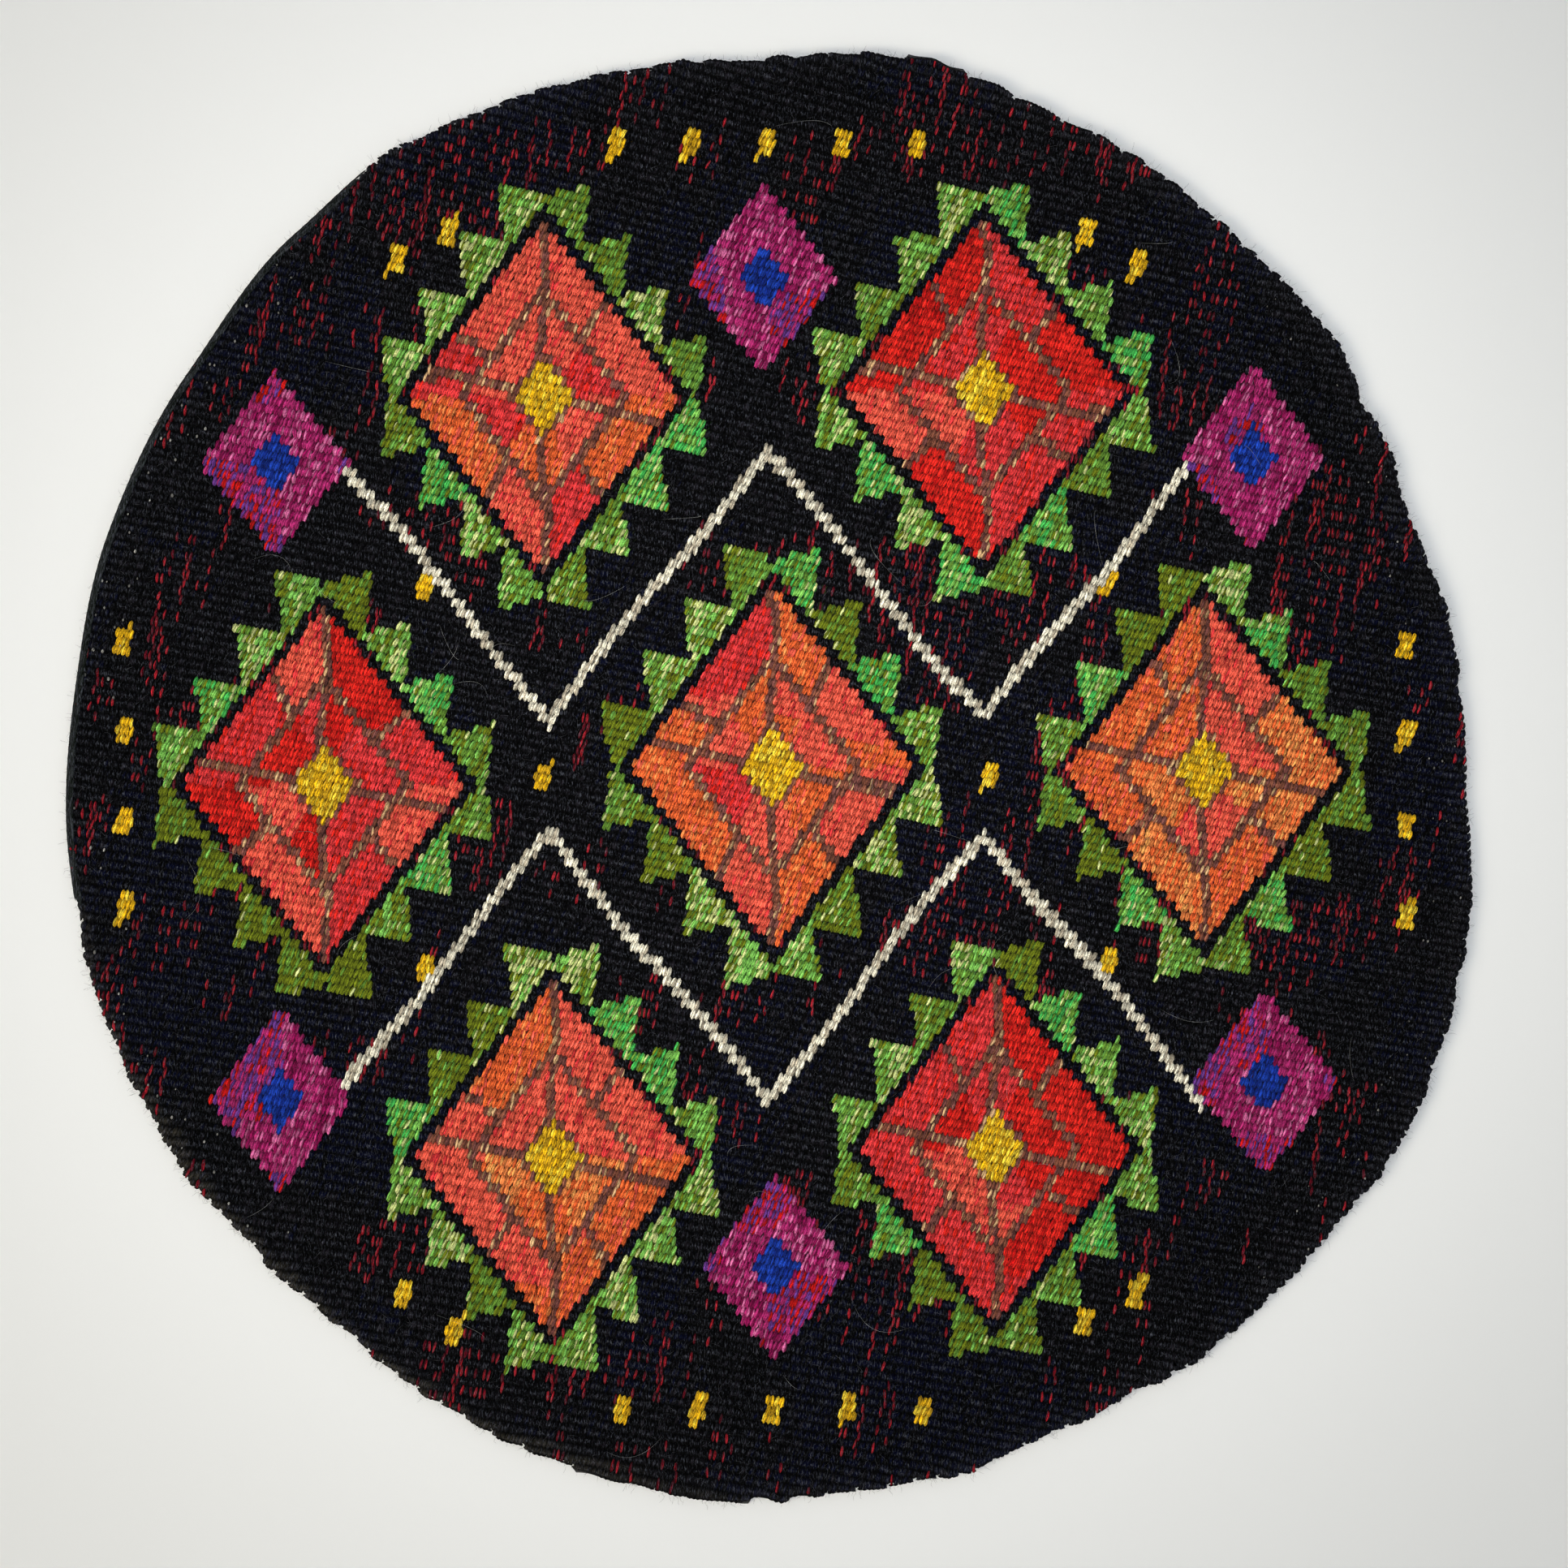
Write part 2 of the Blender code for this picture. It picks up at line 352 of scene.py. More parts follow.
def woven(
    name, places, plies, material, seed, daylight=twisted_daylight,
    lift=0.0, width=1.0, plump=1.0, tilt=0.06, length=1.0,
):
    """The bundles of those places, laid over their ribs."""
    random = np.random.default_rng(seed)
    count = len(places)
    rib, x = place_rib[places], place_x[places]
    right, up_face = rib_directions(rib, x)
    pitch = (rib_y(rib + 0.5, x) - rib_y(rib - 0.5, x)) * right[:, 0]
    lean = random.normal(tilt, ASLANT, count)
    wide = BUNDLE_WIDTH / 2 * width * random.uniform(*WIDTHS, count)
    reach = pitch / 2 * BUNDLE_REACH * length * random.uniform(*LENGTHS, count)
    nudge = random.normal(0.0, ASTRAY, count)
    rise = random.normal(0.0, RAISED, count) + lift
    across = bundle_points[None, :, 0] * wide[:, None] + nudge[:, None]
    over = bundle_points[None, :, 1] * reach[:, None]
    # On the outermost rib the free end turns down over the side, and the rib's own ends are rounded off.
    roundness = rounded_end(rib, x)
    loose = np.where(over > 0, open_above[places][:, None], open_below[places][:, None])
    full = np.where(loose, roundness[:, None], 1.0)
    over = over * (0.25 + 0.75 * full)
    spare = np.where(loose, np.maximum(np.abs(over) - 1.05 * MM, 0.0), 0.0)
    inward = (open_below[places].astype(float) - open_above[places]) * (1.0 - roundness) * LUMP_DEPTH
    over = over - np.sign(over) * spare * 0.8 + inward[:, None]
    across = across + over * lean[:, None]
    px = x[:, None] + across * right[:, :1] + over * up_face[:, :1]
    py = place_y[places][:, None] + across * right[:, 1:2] + over * up_face[:, 1:2]
    arch = np.sin(0.5 * math.pi * np.clip(np.abs(over) / (pitch[:, None] / 2), 0, 1)) ** 2
    pz = crest_height(px, py) - GROOVE_DEPTH * arch + (bundle_points[None, :, 2] - 1.0) * BUNDLE_HEIGHT * plump
    drawn = full * (loose & (np.abs(over) > 0.4 * MM))
    points = tucked(np.stack([px, py, pz + rise[:, None] - spare], axis=-1), drawn)
    joined(name, points, plies, material, seed, daylight)


def new_material(name):
    """A material, and a function that adds a node to it. The inputs of a node are values or outputs of others,
    and the function gives one of its outputs back. The material's own shader counts as added too."""
    material = bpy.data.materials.new(name)
    material.use_nodes = True
    nodes, links = material.node_tree.nodes, material.node_tree.links

    def node(kind, inputs, output=0, **settings):
        made = nodes["Principled BSDF"] if kind == "Shader" else nodes.new("ShaderNode" + kind)
        for key, value in settings.items():
            setattr(made, key, value)
        for key, value in inputs.items():
            if isinstance(value, bpy.types.NodeSocket):
                links.new(value, made.inputs[key])
            else:
                made.inputs[key].default_value = value
        return made.outputs[output]

    return material, node


def two_ply(name, fuzz, shine, turns, fleece, loose):
    """Two-ply wool: its plies twist round each other, and fine fibres run along it. fleece is how much the fibres
    differ in tone, and loose how much painted sheen of loose fibres lies across them."""
    material, node = new_material(name)
    across_yarn = node("SeparateXYZ", {0: node("UVMap", {}, uv_map="along_yarn")})
    along_yarn = across_yarn.node.outputs["Y"]
    turn = node("Math", {0: along_yarn, 1: turns, 2: across_yarn}, operation="MULTIPLY_ADD")
    angle = node("Math", {0: turn, 1: 1.5 * math.pi}, operation="MULTIPLY")
    wave = node("Math", {0: angle}, operation="SINE")
    soft = {"interpolation_type": "SMOOTHSTEP"}
    parting = node("MapRange", {"Value": wave, "From Min": -0.3, "From Max": 0.3}, **soft)
    one = node("Attribute", {}, "Color", attribute_name="ply_one")
    two = node("Attribute", {}, "Color", attribute_name="ply_two")
    plies = node("Mix", {"Factor": parting, "A": one, "B": two}, "Result", data_type="RGBA")

    # The strands follow the twist, on the yarn's own map, and finer fluff lies over them.
    slanting = node("Math", {0: turn, 1: 4.2}, operation="MULTIPLY")
    strand = node("CombineXYZ", {"X": slanting, "Y": along_yarn})
    fibre = node("TexNoise", {"Vector": strand, "Scale": 1.0, "Detail": 4.0, "Roughness": 0.6}, "Fac")
    place = node("TexCoord", {}, "Object")
    fluff = node("TexNoise", {"Vector": place, "Scale": 2000.0, "Detail": 3.0, "Roughness": 0.7}, "Fac")
    both = node("Math", {0: fibre, 1: fluff}, operation="ADD")
    darkest, lightest = 1.0 - fleece, 1.0 + fleece * 1.25
    tone = node("MapRange", {"Value": both, "From Min": 0.74, "From Max": 1.26, "To Min": darkest, "To Max": lightest})

    # It is lower where its plies meet, by the bump, and darker there by painted shade in its colour.
    meeting = node("Math", {0: wave}, operation="ABSOLUTE")
    crease = node("MapRange", {"Value": meeting, "From Max": 0.85, "To Min": 0.40}, **soft)
    creased = node("Math", {0: tone, 1: crease}, operation="MULTIPLY")
    times = {"data_type": "RGBA", "blend_type": "MULTIPLY"}
    shaded = node("Mix", {"Factor": 1.0, "A": plies, "B": creased}, "Result", **times)
    height = node("Math", {0: meeting, 1: 0.8, 2: both}, operation="MULTIPLY_ADD")
    bump = node("Bump", {"Strength": 1.0, "Distance": 0.2 * MM, "Height": height})

    # Worked-up fibres lie across the yarn in three directions, as thin pale streaks: their paleness is painted sheen,
    # where the loose fibres catch the light.
    strays = 0.0
    for degrees in (52, 12, -28):
        way = {"Rotation": (0, 0, math.radians(degrees)), "Scale": (1.0, 0.16, 0.3)}
        drawn_out = node("Mapping", {"Vector": place, **way})
        stray = node("TexNoise", {"Vector": drawn_out, "Scale": 2700.0, "Detail": 2.0}, "Fac")
        strays = node("Math", {0: strays, 1: stray}, operation="MAXIMUM")
    fibre_sheen_mask = node("MapRange", {"Value": strays, "From Min": 0.58, "From Max": 0.74, "To Max": loose}, **soft)
    with_fibre_sheen = node("Mix", {"Factor": fibre_sheen_mask, "A": shaded, "B": (0.15, 0.16, 0.20, 1)}, "Result", data_type="RGBA")
    lit = node("Attribute", {}, "Fac", attribute_name="daylight")
    colour = node("Mix", {"Factor": 1.0, "A": with_fibre_sheen, "B": lit}, "Result", **times)
    gloss = {"Roughness": 0.92, "Sheen Weight": fuzz, "Sheen Roughness": 0.6, "Specular IOR Level": shine}
    node("Shader", {"Base Color": colour, "Normal": bump, **gloss})
    return material


# ----------------------------------------------------------
# The lozenges: seven upright lozenges in two, three and two, each of four bands round a gold middle. The bands
# are woven in reds and oranges, parted by lines of brown, and their slanting sides step from rib to rib.
LOZENGES = (
    # middle x, middle y, half width, half height, in millimetres, and the warmth of its wools from 0 red to 1 orange
    (-153, -3, 49, 61, 0.20), (2, 3, 49, 63, 0.62), (151, 2, 48, 60, 0.85),
    (-77, 131, 47, 61, 0.45), (75, 133, 49, 60, 0.10), (-74, -132, 48, 61, 0.75), (79, -129, 47, 60, 0.30),
)
SCARLET, CRIMSON, ROSE_RED, CORAL = dyed(226, 44, 36), dyed(196, 28, 26), dyed(226, 62, 64), dyed(246, 98, 78)
ORANGE, SALMON, APRICOT = dyed(238, 104, 54), dyed(244, 138, 76), dyed(250, 170, 92)
UMBER, MAUVE_BROWN, TAN = dyed(138, 84, 66), dyed(120, 74, 68), dyed(206, 166, 120)
MIDDLE, INNER_BAND = 0.22, 0.60  # how far out the gold middle and the inner band go
BROWN_LINE, BROWN_RIB = 1.5, 1.7                 # half their width, in millimetres
RED_SHADES = 6                  # mixes of wool from red to orange


def lozenge_reach(across, up, half_width, half_height):
    """From 0 in the middle of a lozenge to 1 at its sides."""
    return np.abs(across) / half_width + np.abs(up) / half_height


def spun_by_mix(places, mix_of, mixes, seed, uneven=0.40):
    """The plies of places with a mix each, by its number. A mix is its dyes and their shares."""
    plies = np.zeros((len(places), 2, 3))
    for mix, (dyes, shares) in enumerate(mixes):
        chosen = mix_of == mix
        plies[chosen] = spun(places[chosen], dyes, shares, seed + mix, uneven=uneven)
    return plies


red_area = np.zeros(len(place_x), int)
brown_line = np.zeros(len(place_x), bool)
gold_middle = np.zeros(len(place_x), bool)
for number, (mid_x, mid_y, half_width, half_height, warmth) in enumerate(LOZENGES):
    across, up = chart_x - mid_x, chart_y - mid_y
    reach = lozenge_reach(across, up, half_width, half_height)
    outer = reach > INNER_BAND
    quarter = (across > 0) + 2 * (up > 0)
    to_side = np.abs(across) / half_width / np.maximum(reach, 0.01)
    cut = np.where(outer, 0.50, 0.42) + 0.14 * np.sin(number * 3.0 + quarter * 2.0 + outer)
    cell = quarter + 4 * outer + 8 * (to_side > cut)
    mixed = np.abs(np.sin(number * 12.9 + cell * 78.2) * 43.7) % 1.0
    wool = 0.50 * warmth + 0.20 * (0.5 - 0.5 * up / half_height) + 0.42 * mixed
    inside = reach < 1.0
    red_area[inside] = np.clip(np.floor(wool * RED_SHADES), 0, RED_SHADES - 1).astype(int)[inside] + 1
    side = math.hypot(half_width, half_height) * reach
    from_ring = np.minimum(np.abs(reach - INNER_BAND), np.abs(reach - MIDDLE)) * half_width * 0.79
    from_cut = np.abs(to_side - cut) * side * 0.95
    from_axis = np.abs(across + np.sign(up) * 1.2 * np.sin(up / 9))
    along_rib = np.abs(up + RIB_SLOPE * across)
    on_line = (np.minimum(from_ring, from_axis) < BROWN_LINE) | (outer & (from_cut < BROWN_LINE))
    brown_line |= inside & (reach > MIDDLE) & (on_line | (along_rib < BROWN_RIB))
    gold_middle |= reach < MIDDLE
gold_places = take(gold_middle)
brown_places = take(brown_line)
lozenge_places = take(red_area > 0)

red_mixes = (
    ((CRIMSON, SCARLET), (0.6, 0.4)),
    ((SCARLET, CRIMSON), (0.8, 0.2)),
    ((ROSE_RED, SCARLET), (0.8, 0.2)),
    ((CORAL, ROSE_RED), (0.85, 0.15)),
    ((ORANGE, CORAL, SALMON), (0.7, 0.15, 0.15)),
    ((SALMON, ORANGE, APRICOT), (0.5, 0.35, 0.15)),
)
lozenge_plies = spun_by_mix(lozenge_places, red_area[lozenge_places] - 1, red_mixes, 20)
bright_wool = two_ply("bright_two_ply_wool", fuzz=0.02, shine=0.10, turns=-0.45, fleece=0.72, loose=0.0)
is_red = red_area[lozenge_places] <= 3
for name, chosen in (("weft_reds", is_red), ("weft_oranges", ~is_red)):
    woven(name, lozenge_places[chosen], lozenge_plies[chosen], bright_wool, 31)
brown_plies = spun(brown_places, (UMBER, MAUVE_BROWN, TAN), (0.48, 0.38, 0.14), 40, steady=0.4)
woven("weft_brown_lines", brown_places, brown_plies, bright_wool, 41)


# ----------------------------------------------------------
# The saw teeth: a row of green teeth along the sides of each lozenge, with a line of the ground between. Their
# yarn is a mix of leaf, olive and pale green plies, so that streaks of each run through them. Some teeth are
# mostly olive, and some have an emerald ply.
LEAF, BRIGHT_LEAF, OLIVE = dyed(104, 146, 56), dyed(132, 200, 92), dyed(110, 122, 30)
PALE_GREEN, EMERALD = dyed(208, 216, 140), dyed(72, 180, 84)
GREENS = (LEAF, BRIGHT_LEAF, OLIVE, PALE_GREEN, EMERALD)
GREEN_SHARES = (
    # of each green in that order, in each mix
    (0.24, 0.02, 0.72, 0.02, 0.00), (0.50, 0.10, 0.36, 0.04, 0.00), (0.42, 0.30, 0.14, 0.14, 0.00),
    (0.28, 0.24, 0.20, 0.28, 0.00), (0.24, 0.30, 0.06, 0.08, 0.32),
)
TEETH_IN, TEETH_ROOT, TEETH_REACH = 1.09, 1.15, 0.40     # in sizes of the lozenge
TEETH = 1.75                    # for each size of the lozenge along its side

green_area = np.zeros(len(place_x), bool)
tooth_shade = np.zeros(len(place_x))
for number, (mid_x, mid_y, half_width, half_height, _) in enumerate(LOZENGES):
    across, up = (chart_x - mid_x) / half_width, (chart_y - mid_y) / half_height
    quarter = (across > 0) + 2 * (up > 0)
    across, up = np.abs(across), np.abs(up)
    reach = across + up
    turn = (across - up) * TEETH
    tooth = np.abs((turn + 0.5) % 1.0 - 0.5) * 2
    toothed = (reach > TEETH_IN) & (reach < TEETH_ROOT + TEETH_REACH * tooth) & (np.abs(across - up) < 1.12)
    green_area |= toothed
    tooth_shade[toothed] = (np.abs(np.sin(number * 7.3 + quarter * 19.1 + np.floor(turn) * 5.7) * 43.7) % 1.0)[toothed]
green_places = take(green_area)
green_mix = np.floor(tooth_shade[green_places] * len(GREEN_SHARES))
green_mixes = [(GREENS, shares) for shares in GREEN_SHARES]
green_plies = spun_by_mix(green_places, green_mix, green_mixes, 50, uneven=0.30)
woven("weft_greens", green_places, green_plies, bright_wool, 51, tilt=0.15)


# ----------------------------------------------------------
# The small lozenges: six of them near the edge, in magenta wools, each with a lozenge of blue in it. In parts of
# them some plies of the yarn are crimson or violet, which gives a speckled shade.
SMALL_LOZENGES = (
    # middle x, middle y, half width, half height, in millimetres
    (-1, 172, 26, 33), (3, -170, 26, 32), (-170, 108, 26, 32), (168, 110, 25, 33), (-168, -112, 25, 32),
    (172, -106, 26, 32),
)
MAGENTA, PINK, PLUM, VIOLET = dyed(176, 48, 110), dyed(212, 106, 156), dyed(138, 22, 80), dyed(108, 62, 142)
ROYAL_BLUE, DEEP_BLUE = dyed(32, 66, 170), dyed(22, 46, 132)
BLUE_SHARE = 0.34               # of the small lozenge's size

magenta_area = np.zeros(len(place_x), bool)
blue_area = np.zeros(len(place_x), bool)
for mid_x, mid_y, half_width, half_height in SMALL_LOZENGES:
    reach = lozenge_reach(chart_x - mid_x, chart_y - mid_y, half_width, half_height)
    magenta_area |= reach < 1.0
    blue_area |= reach < BLUE_SHARE
blue_places = take(blue_area)
magenta_places = take(magenta_area)
magenta_plies = spun(magenta_places, (MAGENTA, PINK, PLUM), (0.50, 0.22, 0.28), 60)
speckled_plies = spun(magenta_places, (MAGENTA, CRIMSON, VIOLET), (0.42, 0.24, 0.34), 64, steady=0.6)
speckled = patchy(place_x[magenta_places], place_y[magenta_places], 19 * MM, 14) > 0.50
magenta_plies = np.where(speckled[:, None, None], speckled_plies, magenta_plies)
woven("weft_magentas", magenta_places, magenta_plies, bright_wool, 61)
woven("weft_blues", blue_places, spun(blue_places, (ROYAL_BLUE, DEEP_BLUE), (0.6, 0.4), 62), bright_wool, 63)


# ----------------------------------------------------------
# The zigzags: two thin lines of undyed cream wool between the rows of lozenges, above and below the middle row.
# They are woven in like the rest, and stand a little proud of it.
ZIGZAG_WIDTH = 2.9              # half of it, up the face, in millimetres
ZIGZAG_END = 152                # how far it goes each way, in millimetres
ZIGZAG_STEP, ZIGZAG_TOP, ZIGZAG_DROP = 75, 112, 92      # from turn to turn, how high it goes, and how far down
CREAM, GREY_CREAM = dyed(244, 236, 212), dyed(190, 178, 156)

swing = np.abs((chart_x + ZIGZAG_STEP) % (2 * ZIGZAG_STEP) - ZIGZAG_STEP) / ZIGZAG_STEP
line_y = ZIGZAG_TOP - ZIGZAG_DROP * swing + 1.5 * np.sin(chart_x / 11)
zigzag = np.abs(np.abs(chart_y) - line_y) < ZIGZAG_WIDTH
cream_places = take(zigzag & (np.abs(chart_x) < ZIGZAG_END))
cream_plies = spun(cream_places, (CREAM, GREY_CREAM), (0.68, 0.32), 70, steady=0.2)
woven("weft_creams", cream_places, cream_plies, bright_wool, 71, lift=0.12 * MM)


# ----------------------------------------------------------
# The gold dots: short dashes of gold wool in straight rows, each a few passes wide and about three ribs high.
# The middles of the lozenges are woven in the same wool.
GOLD, LEMON, OLD_GOLD = dyed(244, 188, 30), dyed(250, 216, 66), dyed(206, 160, 36)
DOT_ROWS = (
    # first x, first y, step x, step y, in millimetres, and how many
    (-52, 218, 26, 0, 5), (-50, -219, 26, 0, 5), (-222, -46, 0, 31, 4), (221, -48, 0, 31, 4),
    (-77, 0, 154, 0, 2), (-118, 66, 0, -22, 1), (118, 68, 0, -22, 1), (-118, -66, 0, 22, 1), (118, -64, 0, 22, 1),
    (-128, 178, 18, 11, 2), (128, 176, -18, 11, 2), (-126, -180, 18, -11, 2), (128, -178, -18, -11, 2),
)
DOT_WIDTH, DOT_HEIGHT = 2.8, 4.9                # half of each, in millimetres
gold_area = np.zeros(len(place_x), bool)
for first_x, first_y, step_x, step_y, count in DOT_ROWS:
    for number in range(count):
        across = chart_x - first_x - step_x * number
        up = chart_y - first_y - step_y * number
        gold_area |= (np.abs(across - PASS_LEAN * up) < DOT_WIDTH) & (np.abs(up) < DOT_HEIGHT)
gold_places = np.concatenate([gold_places, take(gold_area)])
gold_plies = spun(gold_places, (GOLD, LEMON, OLD_GOLD), (0.5, 0.25, 0.25), 80, steady=0.4)
woven("weft_golds", gold_places, gold_plies, bright_wool, 81)


# ----------------------------------------------------------
# The ground: all the rest of the face, in black and navy wools that have felted a little. In places a pass is crimson,
# and shows as short red dashes, one under another. On the rolled rim the colour is made paler, and a brownish black at
# the lower left. The ground is parted in strips across the cloth.
SOOT, BLACK, NAVY, CHARCOAL = dyed(9, 9, 12), dyed(18, 17, 20), dyed(14, 17, 36), dyed(34, 32, 37)
FLECK_RED, DARK_RED = dyed(164, 36, 46), dyed(96, 22, 34)
RIM_PALER, BROWNISH = dyed(23, 23, 25), dyed(46, 43, 34)
# Near the edge the colour is made paler, and browner at the lower left.
RIM_PALER_DEPTH = 11 * MM           # how far in from the edge the wool is paler
BROWN_MIDDLE, BROWN_HALF = -131.0, 36.0         # where it is brownish, in degrees
FLECKED = 0.26                  # the share of crimson where there are most
FLECK_RUN = 8                   # how many ribs a crimson pass shows on, at most
STRIPS = 5


def rim_paling(x, y):
    """How much paler the colour is made on the rolled rim: a little all round, and more and browner at the lower left.
    """
    depth = inside_rim(x, y)
    edge_share = 1.0 - eased((depth - 2 * MM) / (RIM_PALER_DEPTH - 2 * MM))
    low_left = eased(1.4 - np.abs(np.degrees(np.arctan2(y, x)) - BROWN_MIDDLE) / BROWN_HALF)
    brown_depth = (1.5 + 4.5 * patchy(x, y, 14 * MM, 13)) * MM
    low_left = low_left * (1.0 - eased((depth - brown_depth) / (2 * MM)))
    return edge_share[..., None] * np.array(RIM_PALER) + low_left[..., None] * np.array(BROWNISH)


ground_places = take(place_free)
x, y = place_x[ground_places], place_y[ground_places]
navy_here = eased((patchy(x, y, 34 * MM, 5) * 0.7 + patchy(x, y, 9 * MM, 6) * 0.3 - 0.42) / 0.36)
ground_plies = spun(ground_places, (SOOT, BLACK, CHARCOAL), (0.40, 0.45, 0.15), 90, uneven=0.2)
navy_plies = spun(ground_places, (NAVY, SOOT), (0.75, 0.25), 91, uneven=0.2)
is_navy = np.random.default_rng(92).random((len(x), 2)) < navy_here[:, None]
ground_plies = np.where(is_navy[..., None], navy_plies, ground_plies)
ground_plies = ground_plies + rim_paling(x, y)[:, None] * (0.6 + 0.8 * np.random.default_rng(97).random((len(x), 2, 1)))

# A crimson pass runs for a few ribs at a time, and only in some streams of the cloth.
stream = patchy(x - 0.2 * y, y, 21 * MM, 7) * 0.6 + patchy(x - 0.2 * y, y * 0.35, 12 * MM, 8) * 0.4
chance = in_runs(ground_places, FLECK_RUN, np.random.default_rng(93))
is_fleck = chance < FLECKED * eased((stream - 0.46) / 0.20)
fleck_places = ground_places[is_fleck]
fleck_plies = spun(fleck_places, (FLECK_RED, DARK_RED), (0.5, 0.5), 94)
felted_wool = two_ply("felted_black_and_navy_wool", fuzz=0.01, shine=0.03, turns=-0.6, fleece=0.8, loose=0.52)
woven("weft_crimson_flecks", fleck_places, fleck_plies, felted_wool, 95, lift=0.04 * MM, width=0.58, tilt=-0.02)
plain = np.flatnonzero(~is_fleck)
strip = np.argsort(np.argsort(place_rib[ground_places[plain]], kind="stable")) * STRIPS // len(plain)
for number in range(STRIPS):
    chosen = plain[strip == number]
    woven(
        f"weft_ground_{number + 1}", ground_places[chosen], ground_plies[chosen], felted_wool, 96 + number,
        felted_daylight, width=1.1, plump=0.8, length=0.9,
    )


# ----------------------------------------------------------
# The turned edge: the same black wool goes round the side of the rolled rim. At a rib's end the last passes
# lie under each other, and where a rib is the outermost one, the bundles go down over its side.
RIM_BLACK, RIM_GREY = dyed(20, 19, 23), dyed(46, 46, 50)
SIDE_WIDTH = 1.9 * MM
CAPS = ((1.75 * MM, 0.25 * MM, 0.15), (0.75 * MM, 0.75 * MM, 0.55))     # height, how far in, and lean of each


def placed(middle, along, across, outward, long, wide, thick, bow):
    """Bundles with a middle and three directions each. bow is how far the ends fall back from the middle."""
    a, c, h = (bundle_points[None, :, axis, None] for axis in (1, 0, 2))
    long, wide, thick, bow = (np.asarray(size).reshape(-1, 1, 1) for size in (long, wide, thick, bow))
    return (
        middle[:, None] + along[:, None] * a * long / 2 + across[:, None] * c * wide / 2
        + outward[:, None] * ((h - 0.6) * thick - bow * a * a)
    )


STRAIGHT_UP = np.array([0.0, 0.0, 1.0])
random = np.random.default_rng(110)
side_points = []
for rib, ends in rib_ends.items():
    for x, way in zip(ends, (-1, 1)):
        along, over = rib_directions(np.array([rib]), np.array([x]))
        crest = np.array([[x, float(rib_y(rib, x)), 0.0]])
        # Where no rib lies above or below this end, its cap is shorter and sits on the other side.
        open_up, open_down = (
            float(np.clip(way * (x - spans[rib - FIRST_RIB + side, int(way > 0)]) / (4 * MM), 0, 1)) for side in (1, -1)
        )
        cap = RIB_PITCH * 0.95 * (1 - 0.6 * max(open_up, open_down))
        crest = crest + over * (open_down - open_up) * LUMP_DEPTH
        for height, inset, tilt in CAPS:
            outward = unit(way * along - STRAIGHT_UP * tilt)
            across = np.cross(over, outward)
            middle = crest - way * along * inset + STRAIGHT_UP * height + over * random.normal(0, 0.1 * MM)
            side_points.append(tucked(placed(middle, over, across, outward, cap, 1.35 * MM, 0.6 * MM, 0.45 * MM)))
    for way in (-1, 1):
        beyond = spans[rib - FIRST_RIB + way]
        x = np.arange(ends[0] + 0.8 * MM, ends[1] - 0.4 * MM, 2 * PASS)
        x = x[(x < beyond[0] - 0.2 * MM) | (x > beyond[1] + 0.2 * MM)]
        x = x + random.normal(0, 0.12 * MM, len(x))
        along, over = rib_directions(rib, x)
        y = rib_y(rib, x)
        top = crest_height(x, y) - 0.35 * MM
        outward = unit(over * way - STRAIGHT_UP * 0.12)
        middle = np.stack([x, y, top / 2 + 0.1 * MM], -1) + over * way * (1.35 * MM)
        full = rounded_end(rib, x)[:, None]
        middle = middle - over * way * (LUMP_DEPTH + 0.9 * MM) * (1 - full)
        down = np.cross(outward, along)
        passes = placed(middle, down, along, outward, top - 0.1 * MM, SIDE_WIDTH, 0.6 * MM, 0.55 * MM)
        side_points.append(tucked(passes, full))
side_points = np.concatenate(side_points)
pick = random.random((len(side_points), 2, 1))
side_plies = np.where(pick < 0.85, RIM_BLACK, RIM_GREY) * (0.8 + 0.5 * random.random((len(side_points), 2, 1)))
side_plies = side_plies + rim_paling(*side_points.mean(axis=1)[:, :2].T)[:, None]
joined("weft_round_the_edge", side_points, side_plies, felted_wool, 111)


# ----------------------------------------------------------
# The selvedge: on the upper left the edge runs the way of the weft, so the last passes lie along it as a smooth roll of
# grey-green wool. It is paler than the ground by painted sheen, where the roll catches the light.
SELVEDGE_FROM, SELVEDGE_TO = 124.0, 190.0       # degrees
SELVEDGE_SHEEN_GREY, SELVEDGE_SHEEN_GREEN = dyed(42, 45, 45), dyed(27, 31, 28)
SELVEDGE_PASSES = (
    # how far in and how high in millimetres, and how far it leans out in radians
    (0.15, 2.3, 1.2), (1.05, 3.75, 0.55), (2.15, 4.25, 0.1),
)


def level(angle):
    """Level directions at those angles, as rows of three."""
    return np.stack([np.cos(angle), np.sin(angle), 0 * angle], -1)


selvedge_points = []
for depth, height, tilt in SELVEDGE_PASSES:
    angle = np.radians(np.arange(SELVEDGE_FROM + depth, SELVEDGE_TO, 0.85))
    angle = angle + random.normal(0, 0.0006, len(angle))
    radius = rim_radius(angle) - depth * MM
    turn = level(angle)
    ahead = rim_radius(angle + 0.01) - rim_radius(angle - 0.01)
    along = unit(np.cross(STRAIGHT_UP, turn) + turn * (ahead / 0.02 / radius)[:, None])
    outward = turn * math.sin(tilt) + STRAIGHT_UP * math.cos(tilt)
    middle = turn * radius[:, None] + STRAIGHT_UP * (height * MM)
    across = np.cross(along, outward)
    selvedge_points.append(placed(middle, along, across, outward, 6.4 * MM, 1.5 * MM, 0.55 * MM, 0.05 * MM))
selvedge_points = np.concatenate(selvedge_points)
pick = random.random((len(selvedge_points), 2, 1))
